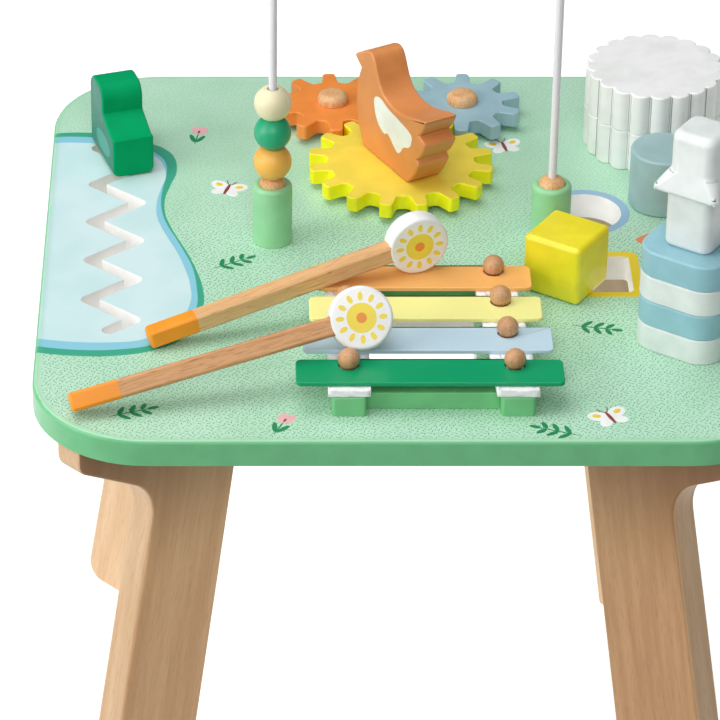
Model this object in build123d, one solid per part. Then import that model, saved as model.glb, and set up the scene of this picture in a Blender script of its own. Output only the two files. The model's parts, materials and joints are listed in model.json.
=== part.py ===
from build123d import *
from math import atan2, cos, degrees, hypot, pi, radians, sin, tan
import os

os.makedirs("parts", exist_ok=True)

# Wooden activity table for small children. Millimetres, +Z up, the origin on the
# floor under the middle of the top, +Y towards the back.

# Table top: one painted board with rounded corners
top_width = 405.5
top_depth = 400.0
top_thick = 15.0
table_height = 350.0
top_corner_radius = 62.0
top_edge_round = 2.4
cut_overrun = 4.0
underside = table_height - top_thick

# Clearances
glue_clearance = 0.05
running_clearance = 0.08
loose_clearance = 0.5

# Legs: splayed plates on the diagonals, places given along the diagonal from the corner
leg_thick = 18.0
leg_tip_inset = 28.4
leg_tip_height = 14.8
leg_tab_slope = 33.4
leg_outer_splay = 12.2
leg_inner_splay = 11.0
leg_foot_inset = 22.4
leg_foot_width = 67.2
leg_inner_tab_reach = 36.0
leg_inner_tab_height = 24.0
leg_inner_tab_slope = 34.0
leg_tip_round = 10.0
leg_neck_round = 27.0
leg_foot_round = 11.0
leg_heel_round = 5.0
leg_arris = 2.2

# Leg bolts and their insert nuts in the top
bolt_radius = 3.0
bolt_head_radius = 5.2
bolt_head_height = 5.0
bolt_seat_depth = 17.0
bolt_thread_length = 9.0
bolt_socket_radius = 2.4
bolt_access = 60.0
bolt_outer_setback = 18.0
bolt_inner_setback = 14.0
nut_radius = 6.0
nut_height = 11.0

# Wood screws that hold the fixed toys from below
screw_radius = 1.9
screw_head_radius = 4.0
screw_head_height = 2.6
screw_grip = 14.0
rail_screw_grip = 9.0

# Glockenspiel frame: two rails, two cross pieces, a cut-out for the sound
rail_width = 18.0
rail_height = 12.0
rail_front_y = -176.0
rail_rear_y = -48.0
rail_left_x = -36.0
rail_right_front_x = 52.3
rail_right_rear_x = 43.6
cross_height = 10.0
cross_depth = 11.0
cross_setback = 7.3
rail_round = 2.0
rail_arris = 1.2
felt_width = 22.5
felt_thick = 4.0
felt_setback = 6.0
sound_hole_left_x = -25.0
sound_hole_right_x = 33.0
sound_hole_front_y = -142.0
sound_hole_rear_y = -70.0
sound_hole_corner = 5.0

# Glockenspiel bars, front to back, and the pins that hold them
bar_names = ("green", "blue", "yellow", "orange")
bar_middle_x = 6.2
bar_front_y = -160.8
bar_pitch = 31.8
bar_width = 23.0
bar_thick = 2.5
bar_longest = 140.0
bar_step = 7.8
bar_corner = 3.0
bar_hole_radius = 5.2
pin_setback = 6.0
pin_ball_radius = 5.75
pin_ball_lift = 3.6
pin_neck_radius = 3.2
pin_grip = 9.0

# Mallets: a square handle glued into the rim of a round head
handle_width = 10.5
handle_thick = 10.0
handle_arris = 1.2
handle_tenon = 9.0
head_radius = 17.0
head_thick = 11.0
head_round = 1.8
head_gap = 0.3
front_facing = Vector(0.116, -0.822, 0.556)
front_rest_aside = 2.9
front_rest_behind = 0.5
front_tail_reach = 145.3
front_tail_ahead = 20.2
front_tail_lift = 2.4
rear_facing = Vector(0.362, -0.932, 0.0)
rear_head_aside = 38.1
rear_head_ahead = 1.6
rear_tail_reach = 106.1
rear_tail_ahead = 49.4
rear_tail_lift = 1.1

# Gears: one driver under the figure and two followers
gear_module = 6.06
driver_teeth = 16
follower_teeth = 10
gear_thick = 9.0
gear_backlash = 2.6
gear_addendum = 4.6
gear_dedendum = 6.2
gear_flank_angle = 6.0
gear_tip_round = 2.2
gear_root_round = 3.0
driver_x = -1.5
driver_y = 75.0
follower_bearing = 28.8
spacer_height = 3.5
spacer_radius = 11.0
axle_radius = 5.0
axle_head_radius = 9.0
axle_head_height = 6.0
keeper_radius = 11.0
keeper_height = 5.0
keeper_gap = 0.5

# Bird figure that turns with the driver gear
figure_length = 58.0
figure_thick = 21.0
figure_height = 66.0
figure_turn = 119.0
figure_shift_x = -2.6
figure_shift_y = 3.0
figure_tail_reach = 18.5
figure_tail_height = 47.5
figure_feather_swell = 0.9
figure_feather_shares = ((0.0, 0.0, 0.65, 0.36), (0.52, 0.41, 1.0, 0.69), (0.62, 0.75, 0.99, 1.0))
figure_back_shares = ((-0.58, 0.665), (-0.36, 0.615), (0.03, 0.7), (0.21, 0.95))
figure_brow_shares = (0.38, 0.92)
figure_beak_shares = (0.54, 0.83)
figure_chin_shares = (0.41, 0.75)
figure_breast_shares = (0.49, 0.42)
figure_foot_share = 0.34

# Bead arch: two pegs, a bent wire and three beads
peg_radius = 11.0
peg_height = 36.0
peg_round = 2.2
arch_x = 2.2
arch_half_span = 77.5
arch_y = 6.0
plug_radius = 7.5
plug_depth = 4.0
plug_dome = 4.2
plug_swell_shares = (0.78, 0.66)
wire_radius = 2.25
wire_depth = 18.0
arch_height = 190.0
arch_bend_radius = 40.0
bead_names = ("orange", "green", "cream")
bead_radii = (10.6, 10.3, 10.3)
bead_flat_share = 0.885
bead_bore_radius = 3.0

# Zigzag track and its slider
track_width = 8.0
track_left_inset = 26.75
track_swing = 25.0
track_rear_y = 110.0
track_step = 21.1
track_runs = 9
track_last_share = 0.5
track_left_x = track_left_inset - top_width / 2
track_right_x = track_left_x + track_swing
slider_width = 24.4
slider_length = 46.0
slider_nose_height = 24.0
slider_nose_round = 1.0
slider_step_depth = 4.5
slider_slope_length = 16.5
slider_slope_rise = 7.0
slider_back_height = 47.0
slider_crown_round = 9.0
slider_sole_round = 4.5
slider_turn = 108.0
slider_stem_back = 21.0
slider_run_share = 0.6
slider_gap = 0.5
stem_radius = 3.4
stem_grip = 14.0
stem_head_radius = 6.5
stem_head_height = 3.0
runner_radius = 10.5
runner_height = 4.0

# Shape sorter: three holes and three blocks
block_height = 35.0
block_round = 3.0
cube_side = 35.0
cube_x_share = 0.4192
cube_x = top_width / 2 * cube_x_share
cube_y = -43.0
cube_turn = 57.0
cylinder_radius = 19.0
cylinder_x_share = 0.7201
cylinder_x = top_width / 2 * cylinder_x_share
cylinder_y = 48.0
prism_radius = 24.0
prism_x_share = 0.8187
prism_x = top_width / 2 * prism_x_share
prism_y = -32.0
prism_turn = 75.0
prism_corner = 3.0
square_hole_side = 38.0
square_hole_x_share = 0.51
square_hole_x = top_width / 2 * square_hole_x_share
square_hole_y = -32.0
square_hole_corner = 3.0
round_hole_radius = 20.5
round_hole_x_share = 0.5006
round_hole_x = top_width / 2 * round_hole_x_share
round_hole_y = 36.0
triangle_hole_radius = 27.0
triangle_hole_x_share = 0.7891
triangle_hole_x = top_width / 2 * triangle_hole_x_share
triangle_hole_y = 5.0
triangle_hole_corner = 4.0

# Striped stacking tower on its peg
tower_x_share = 0.7349
tower_x = top_width / 2 * tower_x_share
tower_y = -97.0
tower_side = 50.0
tower_corner = 14.0
tower_turn = 56.0
tower_layers = ("lower_white", "lower_blue", "upper_white", "upper_blue")
tower_layer_height = 15.0
tower_layer_round = 1.4
column_side = 28.0
column_corner = 6.0
column_height = 34.0
column_round = 3.0
brim_side = 38.0
brim_corner = 3.0
brim_lip = 2.5
roof_slope_height = 9.0
turret_side = 27.0
turret_corner = 7.0
turret_round = 5.0
roof_height = 34.0
roof_bore_depth = 14.0
stack_peg_radius = 5.0
stack_bore_clearance = 0.4

# Scalloped discs on their peg
disc_x_share = 0.7201
disc_x = top_width / 2 * disc_x_share
disc_y = 118.0
disc_radius = 40.0
disc_scallops = 20
disc_scallop_radius = 6.4
disc_height = 25.0
disc_bore_depth = 18.0

# Shapes that several pieces share


def upright(x, y, z):
    """Place at a point of the table, measured up from the top face."""
    return Pos(x, y, table_height + z)


def rod(radius, height):
    """Round bar standing on its own origin."""
    return extrude(Circle(radius), height)


def ring(outer, inner, height):
    return extrude(Circle(outer) - Circle(inner), height)


def triangle(radius, corner):
    """Three-cornered outline with one corner to the left and all corners rounded."""
    outline = RegularPolygon(radius, 3, rotation=180)
    return fillet(outline.vertices(), corner)


def turned(profile):
    """Solid of revolution from a closed outline drawn in the XZ plane."""
    return revolve(make_face(Plane.XZ * profile), Axis.Z)


def screw_places():
    """Where the screws of the pegs stand."""
    places = [(arch_x + side * arch_half_span, arch_y) for side in (-1, 1)]
    places.append((tower_x, tower_y))
    places.append((disc_x, disc_y))
    return places


def rail_x(side, y):
    """Middle of a rail at a given distance to the back: the right one closes in."""
    if side < 0:
        return rail_left_x
    share = (y - rail_front_y) / (rail_rear_y - rail_front_y)
    return rail_right_front_x + share * (rail_right_rear_x - rail_right_front_x)


def rail_screw_places():
    """Two screws for each rail, halfway between its pins."""
    places = []
    for side in (-1, 1):
        for number in (0, len(bar_names) - 2):
            y = pin_y(number) + bar_pitch / 2
            places.append((rail_x(side, y), y))
    return places


def wood_screw(grip):
    """Pan head under the board and a shank that bites into the toy above."""
    head = rod(screw_head_radius, screw_head_height)
    head = fillet(head.edges().group_by(Axis.Z)[0], screw_radius / 2)
    shank_length = top_thick - screw_head_height + grip
    return head + Pos(0, 0, screw_head_height) * rod(screw_radius, shank_length)


def screw_pilot(grip):
    """Hole in a fixed toy for the shank of its screw."""
    return rod(screw_radius + glue_clearance, grip + glue_clearance)


# Leg outline in its own plane: across the diagonal to the middle, and up


def leg_corners():
    outer_lean = tan(radians(leg_outer_splay))
    inner_lean = tan(radians(leg_inner_splay))
    tab_fall = tan(radians(leg_tab_slope))
    inner_fall = tan(radians(leg_inner_tab_slope))
    heel = leg_foot_inset + leg_foot_width
    neck_drop = leg_tip_height + tab_fall * (leg_foot_inset + outer_lean * underside - leg_tip_inset)
    neck_drop = neck_drop / (1 + tab_fall * outer_lean)
    neck = leg_foot_inset + outer_lean * (underside - neck_drop)
    crotch_drop = leg_inner_tab_height + inner_fall * leg_inner_tab_reach
    crotch = heel + inner_lean * (underside - crotch_drop)
    tab_end = crotch + leg_inner_tab_reach
    corners = [
        (leg_tip_inset, 0),
        (leg_tip_inset, -leg_tip_height),
        (neck, -neck_drop),
        (leg_foot_inset, -underside),
        (heel, -underside),
        (crotch, -crotch_drop),
        (tab_end, -leg_inner_tab_height),
        (tab_end, 0),
    ]
    rounds = [0, leg_tip_round, leg_neck_round, leg_foot_round, leg_heel_round, leg_neck_round, leg_tip_round, 0]
    return corners, rounds


def leg_bolt_places():
    """Bolt places along the diagonal from the corner of the top."""
    tab_end = leg_corners()[0][-1][0]
    return (leg_tip_inset + bolt_outer_setback, tab_end - bolt_inner_setback)


def corner_plane(x_side, y_side):
    """Plane of a leg: its x runs from a corner of the top to the middle, its y is up."""
    corner = Vector(x_side * top_width / 2, y_side * top_depth / 2, underside)
    inward = Vector(-x_side, -y_side, 0)
    return Plane(origin=corner, x_dir=inward, z_dir=inward.cross(Vector(0, 0, 1)))


def leg(x_side, y_side):
    plane = corner_plane(x_side, y_side)
    corners, rounds = leg_corners()
    outline = make_face(FilletPolyline(*corners, radius=rounds, close=True))
    plate = extrude(plane * outline, leg_thick / 2, both=True)
    broad_edges = plate.faces().filter_by(plane).edges()
    low_edges = [edge for edge in broad_edges if edge.center().Z < underside - leg_arris]
    plate = fillet(low_edges, leg_arris)
    for place in leg_bolt_places():
        seat = plane.from_local_coords(Vector(place, -bolt_seat_depth, 0))
        shaft = Pos(seat) * rod(bolt_radius + glue_clearance, bolt_seat_depth + cut_overrun)
        access = Pos(seat.X, seat.Y, seat.Z - bolt_access) * rod(bolt_head_radius + loose_clearance, bolt_access)
        plate = plate - shaft - access
    return plate


def bolt():
    """Cap bolt with a hexagon socket, its seat at the origin."""
    head = Pos(0, 0, -bolt_head_height) * rod(bolt_head_radius, bolt_head_height)
    socket = extrude(RegularPolygon(bolt_socket_radius, 6), bolt_head_height / 2)
    head = head - Pos(0, 0, -bolt_head_height) * socket
    return head + rod(bolt_radius, bolt_seat_depth + bolt_thread_length)


def leg_fixings():
    """Bolts and insert nuts of all four legs."""
    bolts = []
    nuts = []
    for x_side in (-1, 1):
        for y_side in (-1, 1):
            plane = corner_plane(x_side, y_side)
            for place in leg_bolt_places():
                seat = plane.from_local_coords(Vector(place, -bolt_seat_depth, 0))
                bolts.append(Pos(seat) * bolt())
                nut = ring(nut_radius, bolt_radius + glue_clearance, nut_height)
                nuts.append(Pos(seat.X, seat.Y, underside) * nut)
    return bolts, nuts


# Gear train


def gear_centres():
    """Driver first, then the follower on the left and the one on the right."""
    reach = gear_module * (driver_teeth + follower_teeth) / 2
    aside = reach * sin(radians(follower_bearing))
    ahead = reach * cos(radians(follower_bearing))
    return [
        (driver_x, driver_y),
        (driver_x - aside, driver_y + ahead),
        (driver_x + aside, driver_y + ahead),
    ]


def gear_outline(teeth, first_tooth):
    """Straight-flanked teeth with rounded tips and roots on the pitch circle."""
    pitch_radius = gear_module * teeth / 2
    tip_radius = pitch_radius + gear_addendum
    root_radius = pitch_radius - gear_dedendum
    half_pitch = (pi * gear_module - gear_backlash) / 4
    lean = tan(radians(gear_flank_angle))
    half_tip = half_pitch - lean * gear_addendum
    half_root = half_pitch + lean * gear_dedendum
    inner = root_radius * cos(half_root / root_radius)
    tooth = ((inner, -half_root), (tip_radius, -half_tip), (tip_radius, half_tip), (inner, half_root))
    corners = []
    for number in range(teeth):
        turn = first_tooth + 360 * number / teeth
        corners += [Vector(x, y).rotate(Axis.Z, turn) for x, y in tooth]
    rounds = [gear_root_round, gear_tip_round, gear_tip_round, gear_root_round] * teeth
    return make_face(FilletPolyline(*corners, radius=rounds, close=True))


def gear_phases():
    """Angle of the first tooth of each gear, so that all are in mesh."""
    driver_phase = 180 / driver_teeth
    phases = [driver_phase]
    centres = gear_centres()
    for x, y in centres[1:]:
        bearing = degrees(atan2(y - driver_y, x - driver_x))
        past_tooth = (bearing - driver_phase) * driver_teeth / follower_teeth
        phases.append(bearing + 180 + 180 / follower_teeth + past_tooth)
    return phases


def gear(index):
    teeth = driver_teeth if index == 0 else follower_teeth
    x, y = gear_centres()[index]
    disc = extrude(gear_outline(teeth, gear_phases()[index]), gear_thick)
    disc = disc - rod(axle_radius + glue_clearance, gear_thick)
    return upright(x, y, spacer_height) * disc


def gear_axle(index):
    """Turned pin glued into the gear, running in the top, with a domed head on the followers."""
    x, y = gear_centres()[index]
    lowest = -top_thick - keeper_gap - keeper_height
    highest = spacer_height + gear_thick
    axle = upright(x, y, lowest) * rod(axle_radius, highest - lowest)
    if index > 0:
        head = rod(axle_head_radius, axle_head_height)
        head = fillet(head.edges().group_by(Axis.Z)[-1], axle_head_height * 2 / 3)
        axle = axle + upright(x, y, highest) * head
    return axle


def gear_keeper(index):
    x, y = gear_centres()[index]
    disc = ring(keeper_radius, axle_radius + glue_clearance, keeper_height)
    return upright(x, y, -top_thick - keeper_gap - keeper_height) * disc


def gear_spacers():
    spacer = ring(spacer_radius, axle_radius + running_clearance, spacer_height)
    return [upright(x, y, 0) * spacer for x, y in gear_centres()]


def figure_point(shares):
    return (figure_length * shares[0], figure_height * shares[1])


def figure_tail(out_share, up_share):
    """Point of the tail, measured out from the rear of the foot and up."""
    return (-figure_length / 2 - figure_tail_reach * out_share, figure_tail_height * up_share)


def figure():
    """Bird cut from thick board: stepped tail feathers, a hollow back, a beak, a round breast."""
    feathers = []
    last_tip = None
    for low_out, low_up, tip_out, tip_up in figure_feather_shares:
        root = figure_tail(low_out, low_up)
        tip = figure_tail(tip_out, tip_up)
        if last_tip:
            feathers.append(Line(last_tip, root))
        swell = ((root[0] + tip[0]) / 2 - figure_feather_swell, (root[1] + tip[1]) / 2 - figure_feather_swell)
        feathers.append(ThreePointArc(root, swell, tip))
        last_tip = tip
    brow = figure_point(figure_brow_shares)
    chin = figure_point(figure_chin_shares)
    foot = figure_point((figure_foot_share, 0))
    back = Spline(last_tip, *[figure_point(shares) for shares in figure_back_shares], brow)
    beak = Polyline(brow, figure_point(figure_beak_shares), chin)
    breast = Spline(chin, figure_point(figure_breast_shares), foot)
    base = Line(foot, figure_tail(0, 0))
    outline = make_face(Curve() + feathers + [back, beak, breast, base])
    slab = extrude(Plane.XZ * outline, figure_thick / 2, both=True)
    place = upright(driver_x + figure_shift_x, driver_y + figure_shift_y, spacer_height + gear_thick)
    return place * Rot(0, 0, figure_turn) * slab


# Bead arch


def arch_peg(side):
    peg = rod(peg_radius, peg_height)
    peg = fillet(peg.edges().group_by(Axis.Z)[-1], peg_round)
    peg = peg - Pos(0, 0, peg_height - plug_depth) * rod(plug_radius + glue_clearance, plug_depth)
    bore_floor = peg_height - wire_depth
    peg = peg - Pos(0, 0, bore_floor) * rod(wire_radius + glue_clearance, wire_depth)
    peg = peg - screw_pilot(screw_grip)
    return upright(arch_x + side * arch_half_span, arch_y, 0) * peg


def arch_plugs():
    plug_height = plug_depth + plug_dome
    shoulder = plug_depth
    bore = wire_radius + glue_clearance
    dome = ThreePointArc(
        (plug_radius, shoulder),
        (plug_radius * plug_swell_shares[0], shoulder + plug_dome * plug_swell_shares[1]),
        (bore, plug_height))
    walls = Polyline((bore, plug_height), (bore, 0), (plug_radius, 0), (plug_radius, shoulder))
    plug = turned(Curve() + [dome, walls])
    seat = peg_height - plug_depth
    return [upright(arch_x + side * arch_half_span, arch_y, seat) * plug for side in (-1, 1)]


def arch_wire():
    foot = peg_height - wire_depth
    path = FilletPolyline(
        (-arch_half_span, foot), (-arch_half_span, arch_height),
        (arch_half_span, arch_height), (arch_half_span, foot),
        radius=arch_bend_radius)
    path = upright(arch_x, arch_y, 0) * (Plane.XZ * path)
    section = Plane(origin=path @ 0, z_dir=path % 0) * Circle(wire_radius)
    return sweep(section, path=path)


def bead(number):
    """Turned ball with flat ends on the left upright, standing on the beads below it."""
    radius = bead_radii[number]
    floor = peg_height + plug_dome + loose_clearance / 2
    for below in bead_radii[:number]:
        floor += 2 * below * bead_flat_share
    ball = Sphere(radius) & Cylinder(radius, 2 * radius * bead_flat_share)
    ball = ball - Cylinder(bead_bore_radius, 2 * radius)
    return upright(arch_x - arch_half_span, arch_y, floor + radius * bead_flat_share) * ball


# Zigzag track and slider


def track_points():
    points = []
    for number in range(track_runs + 1):
        x = track_left_x if number % 2 == 0 else track_right_x
        points.append((x, track_rear_y - number * track_step))
    last_x, last_y = points[-1]
    other_x = track_left_x if last_x == track_right_x else track_right_x
    end_x = last_x + (other_x - last_x) * track_last_share
    points.append((end_x, last_y - track_step * track_last_share))
    return points


def track_outline():
    outline = Sketch()
    points = track_points()
    for start, end in zip(points, points[1:]):
        middle = ((start[0] + end[0]) / 2, (start[1] + end[1]) / 2)
        length = hypot(end[0] - start[0], end[1] - start[1])
        bearing = degrees(atan2(end[1] - start[1], end[0] - start[0]))
        outline += Pos(*middle) * Rot(0, 0, bearing) * SlotCenterToCenter(length, track_width)
    return outline


def slider_place():
    """The slider stands on the track's first run."""
    start, end = track_points()[:2]
    x = start[0] + (end[0] - start[0]) * slider_run_share
    y = start[1] + (end[1] - start[1]) * slider_run_share
    return x, y


def slider_figure():
    """Squat animal cut from thick board: a blunt nose, a step, a sloped brow and a high back."""
    nose = -slider_stem_back
    rear = nose + slider_length
    step = nose + slider_step_depth
    brow = step + slider_slope_length
    corners = [
        (rear, 0),
        (nose, 0),
        (nose, slider_nose_height),
        (step, slider_nose_height),
        (brow, slider_nose_height + slider_slope_rise),
        (brow, slider_back_height),
        (rear, slider_back_height),
    ]
    rounds = [0, 0, slider_nose_round, 0, slider_nose_round, slider_crown_round, slider_crown_round]
    outline = make_face(FilletPolyline(*corners, radius=rounds, close=True))
    body = extrude(Plane.XZ * outline, slider_width / 2, both=True)
    sole_edges = body.edges().group_by(Axis.Z)[0].filter_by(Axis.X)
    body = fillet(sole_edges, slider_sole_round)
    body = body - rod(stem_radius + glue_clearance, stem_grip)
    x, y = slider_place()
    return upright(x, y, slider_gap) * Rot(0, 0, slider_turn) * body


def slider_stem():
    """Pin with a flat head under the runner, glued into the figure."""
    x, y = slider_place()
    runner_floor = -top_thick - slider_gap - runner_height
    head = upright(x, y, runner_floor - stem_head_height) * rod(stem_head_radius, stem_head_height)
    shank_length = stem_grip + slider_gap - runner_floor
    return head + upright(x, y, runner_floor) * rod(stem_radius, shank_length)


def slider_runner():
    x, y = slider_place()
    disc = ring(runner_radius, stem_radius + running_clearance, runner_height)
    return upright(x, y, -top_thick - slider_gap - runner_height) * disc


# Glockenspiel


def rail(side):
    front = rail_x(side, rail_front_y)
    rear = rail_x(side, rail_rear_y)
    half = rail_width / 2
    outline = Polygon(
        (front - half, rail_front_y), (front + half, rail_front_y),
        (rear + half, rail_rear_y), (rear - half, rail_rear_y), align=None)
    bar = extrude(fillet(outline.vertices(), rail_round), rail_height)
    bar = chamfer(bar.edges().group_by(Axis.Z)[-1], rail_arris)
    for number in range(len(bar_names)):
        hole = Pos(rail_x(side, pin_y(number)), pin_y(number), rail_height - pin_grip)
        bar = bar - hole * rod(pin_neck_radius + glue_clearance, pin_grip)
    for x, y in rail_screw_places():
        bar = bar - Pos(x, y, 0) * screw_pilot(rail_screw_grip)
    return upright(0, 0, 0) * bar


def cross_piece(y):
    """Board between the rails, cut to their slant."""
    half_depth = cross_depth / 2
    left = rail_left_x + rail_width / 2
    near = rail_x(1, y - half_depth) - rail_width / 2
    far = rail_x(1, y + half_depth) - rail_width / 2
    outline = Polygon(
        (left, y - half_depth), (near, y - half_depth),
        (far, y + half_depth), (left, y + half_depth), align=None)
    return upright(0, 0, 0) * extrude(outline, cross_height)


def felt(side):
    front_y = rail_front_y + felt_setback
    rear_y = rail_rear_y - felt_setback
    front = rail_x(side, front_y)
    rear = rail_x(side, rear_y)
    half = felt_width / 2
    outline = Polygon(
        (front - half, front_y), (front + half, front_y),
        (rear + half, rear_y), (rear - half, rear_y), align=None)
    strip = extrude(outline, felt_thick)
    for number in range(len(bar_names)):
        strip = strip - Pos(rail_x(side, pin_y(number)), pin_y(number), 0) * rod(
            pin_neck_radius + glue_clearance, felt_thick)
    return upright(0, 0, rail_height) * strip


def bar_y(number):
    return bar_front_y + number * bar_pitch


def pin_y(number):
    return bar_y(number) + pin_setback


def chime_bar(number):
    length = bar_longest - number * bar_step
    outline = RectangleRounded(length, bar_width, bar_corner)
    for side in (-1, 1):
        aside = rail_x(side, pin_y(number)) - bar_middle_x
        outline -= Pos(aside, pin_setback) * Circle(bar_hole_radius)
    return upright(bar_middle_x, bar_y(number), rail_height + felt_thick) * extrude(outline, bar_thick)


def bar_pins():
    """Ball-headed pins that hold the bars loosely."""
    neck_length = pin_grip + felt_thick + bar_thick + pin_ball_lift
    pin = rod(pin_neck_radius, neck_length) + Pos(0, 0, neck_length) * Sphere(pin_ball_radius)
    pins = []
    for side in (-1, 1):
        for number in range(len(bar_names)):
            y = pin_y(number)
            pins.append(upright(rail_x(side, y), y, rail_height - pin_grip) * pin)
    return pins


# Mallets


def bar_top():
    return rail_height + felt_thick + bar_thick


def front_mallet_ends():
    """Tail and head centre of the mallet that leans between the first pin and the second bar."""
    facing = front_facing.normalized()
    flat_up = (Vector(0, 0, 1) - facing * facing.Z).normalized()
    rest = Vector(rail_left_x + pin_ball_radius + front_rest_aside, pin_y(0) + front_rest_behind, bar_top())
    rise = head_radius + head_thick * facing.Z / flat_up.Z
    head_centre = rest + flat_up * rise - facing * (head_thick / 2)
    tail = Vector(rail_left_x - front_tail_reach, pin_y(0) - front_tail_ahead, handle_width / 2 + front_tail_lift)
    return tail, head_centre


def rear_mallet_ends():
    """Tail and head centre of the mallet whose head stands on the last bar."""
    last_pin = pin_y(len(bar_names) - 1)
    head_centre = Vector(rail_left_x + rear_head_aside, last_pin + rear_head_ahead, bar_top() + head_radius + head_gap)
    tail = Vector(rail_left_x - rear_tail_reach, last_pin - rear_tail_ahead, handle_width / 2 + rear_tail_lift)
    return tail, head_centre


def mallet(tail, head_centre, facing):
    """Handle and head: the handle runs from its tail into the rim of the head."""
    along = head_centre - tail
    reach = along.length
    square_facing = facing - along * (facing.dot(along) / reach**2)
    place = Plane(origin=tail + Vector(0, 0, table_height), x_dir=along, z_dir=square_facing).location
    handle_length = reach - head_radius + handle_tenon
    lengthwise = (Align.MIN, Align.CENTER, Align.CENTER)
    blank = Box(handle_length, handle_width, handle_thick, align=lengthwise)
    blank = chamfer(blank.edges().filter_by(Axis.X), handle_arris)
    disc = Pos(reach, 0, -head_thick / 2) * rod(head_radius, head_thick)
    disc = fillet(disc.edges(), head_round)
    slack = 2 * glue_clearance
    mortise = Box(handle_length + glue_clearance, handle_width + slack, handle_thick + slack, align=lengthwise)
    return place * blank, place * (disc - mortise)


# Shape sorter blocks


def cube():
    block = fillet(Box(cube_side, cube_side, block_height).edges(), block_round)
    return upright(cube_x, cube_y, block_height / 2) * Rot(0, 0, cube_turn) * block


def cylinder_block():
    block = rod(cylinder_radius, block_height)
    block = fillet(block.edges(), block_round / 2)
    return upright(cylinder_x, cylinder_y, 0) * block


def prism():
    block = extrude(triangle(prism_radius, prism_corner), block_height)
    return upright(prism_x, prism_y, 0) * Rot(0, 0, prism_turn) * block


# Stacking tower and scalloped discs


def tower_layer(number):
    layer = extrude(RectangleRounded(tower_side, tower_side, tower_corner), tower_layer_height)
    layer = fillet(layer.edges().group_by(Axis.Z)[-1], tower_layer_round)
    layer = layer - rod(stack_peg_radius + stack_bore_clearance, tower_layer_height)
    return upright(tower_x, tower_y, number * tower_layer_height) * Rot(0, 0, tower_turn) * layer


def column_floor():
    return len(tower_layers) * tower_layer_height


def tower_column():
    column = extrude(RectangleRounded(column_side, column_side, column_corner), column_height)
    column = fillet(column.edges().group_by(Axis.Z)[0], column_round)
    column = column - rod(stack_peg_radius + stack_bore_clearance, column_height)
    return upright(tower_x, tower_y, column_floor()) * Rot(0, 0, tower_turn) * column


def tower_roof():
    """Square brim that slopes up into a square turret with a soft top."""
    brim = RectangleRounded(brim_side, brim_side, brim_corner)
    turret = RectangleRounded(turret_side, turret_side, turret_corner)
    waist = brim_lip + roof_slope_height
    tower = extrude(turret, roof_height - waist)
    tower = fillet(tower.edges().group_by(Axis.Z)[-1], turret_round)
    slope = loft([Pos(0, 0, brim_lip) * brim, Pos(0, 0, waist) * turret])
    roof = extrude(brim, brim_lip) + slope + Pos(0, 0, waist) * tower
    roof = roof - rod(stack_peg_radius + stack_bore_clearance, roof_bore_depth)
    return upright(tower_x, tower_y, column_floor() + column_height) * Rot(0, 0, tower_turn) * roof


def stack_peg(x, y, height):
    peg = rod(stack_peg_radius, height)
    peg = fillet(peg.edges().group_by(Axis.Z)[-1], stack_peg_radius / 2)
    peg = peg - screw_pilot(screw_grip)
    return upright(x, y, 0) * peg


def scalloped_disc(number):
    lobe_circle = disc_radius - disc_scallop_radius
    outline = Circle(lobe_circle)
    for lobe in range(disc_scallops):
        bearing = radians(360 * lobe / disc_scallops)
        outline += Pos(lobe_circle * cos(bearing), lobe_circle * sin(bearing)) * Circle(disc_scallop_radius)
    disc = extrude(outline, disc_height)
    bore_depth = disc_height if number == 0 else disc_bore_depth
    disc = disc - rod(stack_peg_radius + stack_bore_clearance, bore_depth)
    return upright(disc_x, disc_y, number * disc_height) * disc


# Table top with everything that is cut into it


def table_top():
    board = extrude(RectangleRounded(top_width, top_depth, top_corner_radius), top_thick)
    board = fillet(board.edges().group_by(Axis.Z)[-1], top_edge_round)
    holes = Pos(square_hole_x, square_hole_y) * RectangleRounded(
        square_hole_side, square_hole_side, square_hole_corner)
    holes += Pos(round_hole_x, round_hole_y) * Circle(round_hole_radius)
    holes += Pos(triangle_hole_x, triangle_hole_y) * triangle(triangle_hole_radius, triangle_hole_corner)
    sound_width = sound_hole_right_x - sound_hole_left_x
    sound_depth = sound_hole_rear_y - sound_hole_front_y
    sound_middle = ((sound_hole_left_x + sound_hole_right_x) / 2, (sound_hole_front_y + sound_hole_rear_y) / 2)
    holes += Pos(*sound_middle) * RectangleRounded(sound_width, sound_depth, sound_hole_corner)
    holes += track_outline()
    for x, y in gear_centres():
        holes += Pos(x, y) * Circle(axle_radius + running_clearance)
    for x, y in screw_places() + rail_screw_places():
        holes += Pos(x, y) * Circle(screw_radius + glue_clearance)
    board = board - extrude(holes, top_thick)
    for x, y in screw_places() + rail_screw_places():
        board = board - Pos(x, y, 0) * rod(screw_head_radius + glue_clearance, screw_head_height)
    for x_side in (-1, 1):
        for y_side in (-1, 1):
            plane = corner_plane(x_side, y_side)
            for place in leg_bolt_places():
                spot = plane.from_local_coords(Vector(place, 0, 0))
                board = board - Pos(spot.X, spot.Y, 0) * rod(nut_radius + glue_clearance, nut_height)
    return Pos(0, 0, underside) * board


# Every node and its solids


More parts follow.
